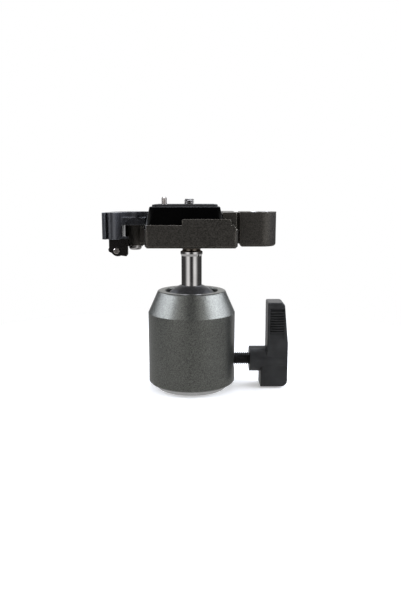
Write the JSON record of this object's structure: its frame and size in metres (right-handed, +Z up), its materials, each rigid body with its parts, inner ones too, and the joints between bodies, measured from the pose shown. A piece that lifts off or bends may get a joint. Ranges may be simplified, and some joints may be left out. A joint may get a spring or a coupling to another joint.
{
  "type": "tripod ball head",
  "caption": "Tripod ball head with a domed housing, one side locking knob, a steel stem and a lever clamp that holds a tapered camera plate.",
  "frame": {"origin": "centre of the tripod thread's mouth, in the plane of the base", "axes": "+Z up along the stem, +X towards the locking knob, -Y towards the viewer of the picture"},
  "size_m": [0.1137, 0.055, 0.1206],
  "materials": {
    "gunmetal_paint": "satin metallic paint with fine fleck",
    "black_nylon": "plain moulded nylon",
    "ball_coating": "dark satin coating",
    "polished_chrome": "polished",
    "spring_steel": "drawn wire and pressed strip",
    "turned_aluminium": "turned, fine circular marks",
    "plain_steel": "nickel plated",
    "black_steel": "black oxide",
    "brass": "pale satin",
    "knob_plastic": "moulded, fine grain",
    "fibre": "pressed fibre",
    "cast_paint": "fine textured paint on a casting",
    "lever_paint": "smooth satin paint",
    "plate_plastic": "moulded, glossy edges",
    "pad_rubber": "fine ribbed rubber",
    "level_metal": "turned",
    "level_window": "clear dome over tinted fluid"
  },
  "bodies": {
    "base": {"housing": "gunmetal_paint", "seat_ring": "black_nylon", "base_disc": "turned_aluminium", "thread_insert": "plain_steel", "base_lock_screw": "black_steel", "knob_bush": "brass"},
    "cup": {"ball_cup": "black_nylon", "friction_spring": "spring_steel"},
    "ball": {"ball": "ball_coating"},
    "head": {"stem": "polished_chrome", "stem_washer": "fibre", "clamp_bolt": "black_steel", "clamp_body": "cast_paint", "trigger_plug": "brass", "trigger_spring": "spring_steel", "level_cup": "level_metal", "level_vial": "level_window", "pivot_screw": "plain_steel", "pivot_washer": "plain_steel", "lever_spring": "spring_steel", "plate_body": "plate_plastic", "plate_pad": "pad_rubber", "screw_retainer": "spring_steel", "video_cap": "plate_plastic", "video_spring": "spring_steel"},
    "wedge": {"push_wedge": "plain_steel"},
    "knob": {"knob": "knob_plastic", "locking_screw": "black_steel"},
    "piston": {"lift_piston": "turned_aluminium"},
    "lever": {"lever": "lever_paint", "catch_pin": "brass", "catch_spring": "spring_steel"},
    "catch": {"safety_catch": "lever_paint"},
    "camera_screw": {"camera_screw": "plain_steel"},
    "video_pin": {"video_pin": "brass"},
    "trigger": {"trigger_pin": "brass"}
  },
  "joints": [
    {"name": "ball_pan", "type": "hinge", "parent": "base", "child": "cup", "pos_m": [0, 0, 0.047], "axis": [0, 0, 1], "continuous": true},
    {"name": "ball_tilt", "type": "hinge", "parent": "cup", "child": "ball", "pos_m": [0, 0, 0.047], "axis": [1, 0, 0], "range_deg": [-28, 28]},
    {"name": "ball_spin", "type": "hinge", "parent": "ball", "child": "head", "pos_m": [0, 0, 0.047], "axis": [0, 0, 1], "continuous": true},
    {"name": "knob_turn", "type": "hinge", "parent": "wedge", "child": "knob", "pos_m": [0.037, 0, 0.0179], "axis": [1, 0, 0], "range_deg": [0, 450]},
    {"name": "wedge_slide", "type": "slide", "parent": "base", "child": "wedge", "axis": [1, 0, 0], "range_m": [0, 0.00156]},
    {"name": "piston_lift", "type": "slide", "parent": "base", "child": "piston", "axis": [0, 0, 1], "range_m": [-0.0004, 0]},
    {"name": "lever_swing", "type": "hinge", "parent": "head", "child": "lever", "pos_m": [-0.036, 0.008, 0.1], "axis": [0, 0, 1], "range_deg": [-75, 0]},
    {"name": "catch_rock", "type": "hinge", "parent": "lever", "child": "catch", "pos_m": [-0.0458, 0, 0.088], "axis": [0, 1, 0], "range_deg": [0, 10], "stiffness_Nm_per_rad": 0.02, "springref_deg": -11.46, "deforming": ["catch_spring"]},
    {"name": "camera_screw_turn", "type": "hinge", "parent": "head", "child": "camera_screw", "pos_m": [-0.0014, 0, 0.11], "axis": [0, 0, 1], "continuous": true},
    {"name": "video_pin_press", "type": "slide", "parent": "head", "child": "video_pin", "axis": [0, 0, -1], "range_m": [0, 0.0039], "stiffness_N_per_m": 150, "springref_m": -0.002, "deforming": ["video_spring"]},
    {"name": "trigger_press", "type": "slide", "parent": "head", "child": "trigger", "axis": [0, 0, -1], "range_m": [0, 0.002], "stiffness_N_per_m": 150, "springref_m": -0.002, "deforming": ["trigger_spring"]}
  ],
  "couplings": [
    {"joint": "knob_turn", "follows": "wedge_slide", "rad_per_m": 5026.5},
    {"joint": "piston_lift", "follows": "wedge_slide", "ratio": -0.25}
  ]
}
